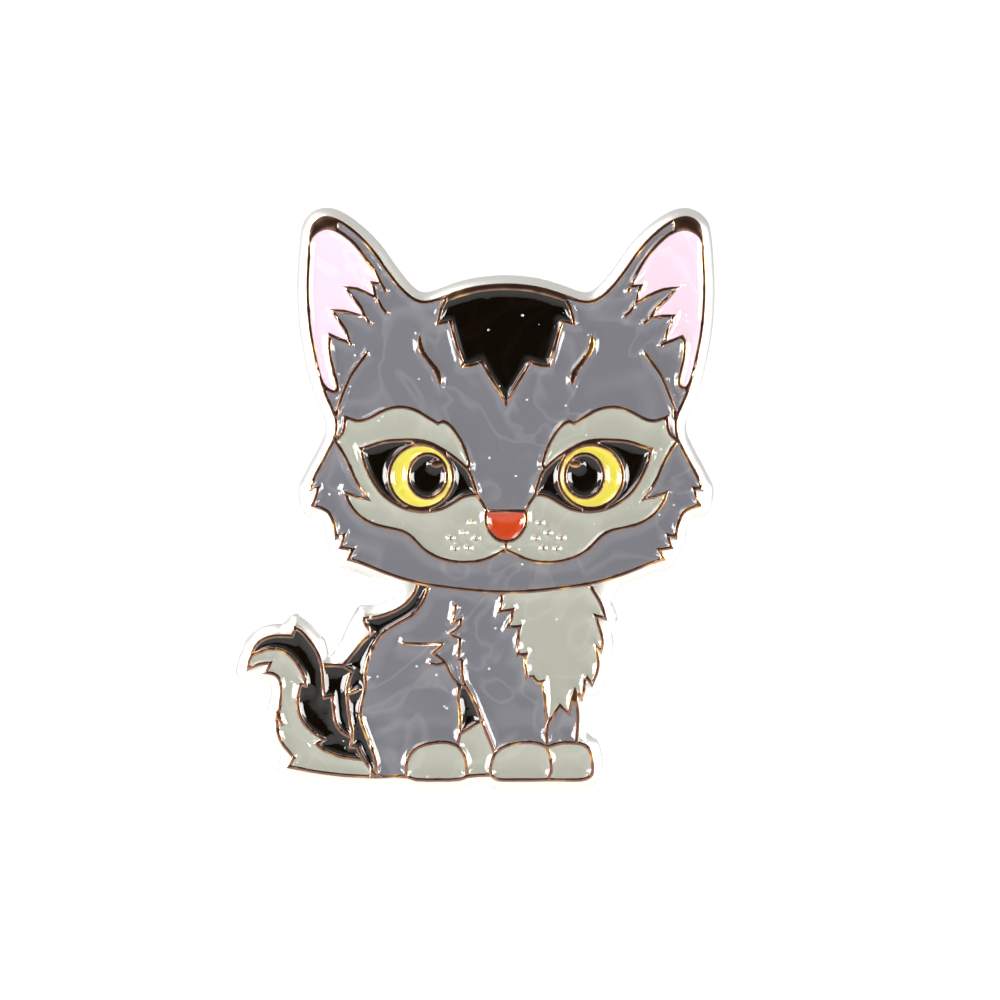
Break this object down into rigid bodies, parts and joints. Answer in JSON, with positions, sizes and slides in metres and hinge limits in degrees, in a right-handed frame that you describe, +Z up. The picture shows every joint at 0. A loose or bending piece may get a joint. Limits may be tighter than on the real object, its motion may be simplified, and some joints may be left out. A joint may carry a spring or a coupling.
{
  "type": "enamel pin",
  "caption": "Soft enamel pin of a sitting grey kitten, with raised metal lines, coloured enamel fills, pointed posts and butterfly clutches.",
  "frame": {"origin": "where the axis of the upper post meets the plane of the plate's back", "axes": "-Y out of the pin's face, +Y out of its back along the posts, +Z up towards the ears, +X to the right seen from the front"},
  "size_m": [0.0241, 0.0094, 0.0293],
  "materials": {
    "plate_metal": "plated zinc, bright lines and rim, satin back",
    "post_metal": "nickel plated",
    "clutch_metal": "bright pressed brass",
    "grey_enamel": "glossy soft enamel",
    "black_enamel": "glossy soft enamel",
    "pale_enamel": "glossy soft enamel",
    "pink_enamel": "glossy soft enamel",
    "yellow_enamel": "glossy soft enamel",
    "red_enamel": "glossy soft enamel"
  },
  "bodies": {
    "pin": {"base_plate": "plate_metal", "raised_lines_head": "plate_metal", "raised_lines_body": "plate_metal", "raised_lines_tail": "plate_metal", "post_upper": "post_metal", "post_lower": "post_metal", "solder_upper": "post_metal", "solder_lower": "post_metal", "fur_crown": "grey_enamel", "fur_cheeks": "grey_enamel", "body_fur": "grey_enamel", "far_leg": "grey_enamel", "forehead_patch": "black_enamel", "pupil_left": "black_enamel", "pupil_right": "black_enamel", "eye_outer_left": "black_enamel", "eye_outer_right": "black_enamel", "eye_inner_left": "black_enamel", "eye_inner_right": "black_enamel", "leg_gap_dark": "black_enamel", "back_stripe": "black_enamel", "tail_dark": "black_enamel", "tail_gap": "black_enamel", "mask_left": "pale_enamel", "mask_right": "pale_enamel", "bib": "pale_enamel", "leg_gap_light": "pale_enamel", "paw_back": "pale_enamel", "paw_front": "pale_enamel", "paw_far": "pale_enamel", "tail_light": "pale_enamel", "ear_pink_left": "pink_enamel", "ear_pink_right": "pink_enamel", "iris_left": "yellow_enamel", "iris_right": "yellow_enamel", "nose": "red_enamel"},
    "clutch_upper": {"clutch_cap_upper": "clutch_metal", "clutch_spring_upper": "clutch_metal"},
    "wing_a_upper": {"clutch_wing_a_upper": "clutch_metal"},
    "wing_b_upper": {"clutch_wing_b_upper": "clutch_metal"},
    "clutch_lower": {"clutch_cap_lower": "clutch_metal", "clutch_spring_lower": "clutch_metal"},
    "wing_a_lower": {"clutch_wing_a_lower": "clutch_metal"},
    "wing_b_lower": {"clutch_wing_b_lower": "clutch_metal"}
  },
  "joints": [
    {"name": "clutch_slide_upper", "type": "slide", "parent": "pin", "child": "clutch_upper", "axis": [0, 1, 0], "range_m": [-0.0016, 0.0075]},
    {"name": "wing_squeeze_a_upper", "type": "hinge", "parent": "clutch_upper", "child": "wing_a_upper", "pos_m": [-0.003, 0.00302, 0], "axis": [0, 0, 1], "range_deg": [0, 6], "stiffness_Nm_per_rad": 0.0005},
    {"name": "wing_squeeze_b_upper", "type": "hinge", "parent": "clutch_upper", "child": "wing_b_upper", "pos_m": [0.003, 0.00324, 0], "axis": [0, 0, -1], "range_deg": [0, 6], "stiffness_Nm_per_rad": 0.0005},
    {"name": "clutch_slide_lower", "type": "slide", "parent": "pin", "child": "clutch_lower", "axis": [0, 1, 0], "range_m": [-0.0016, 0.0075]},
    {"name": "wing_squeeze_a_lower", "type": "hinge", "parent": "clutch_lower", "child": "wing_a_lower", "pos_m": [-0.0044, 0.00302, -0.0115], "axis": [0, 0, 1], "range_deg": [0, 6], "stiffness_Nm_per_rad": 0.0005},
    {"name": "wing_squeeze_b_lower", "type": "hinge", "parent": "clutch_lower", "child": "wing_b_lower", "pos_m": [0.0016, 0.00324, -0.0115], "axis": [0, 0, -1], "range_deg": [0, 6], "stiffness_Nm_per_rad": 0.0005}
  ],
  "couplings": [
    {"joint": "wing_squeeze_b_upper", "follows": "wing_squeeze_a_upper", "ratio": 1},
    {"joint": "wing_squeeze_b_lower", "follows": "wing_squeeze_a_lower", "ratio": 1}
  ]
}
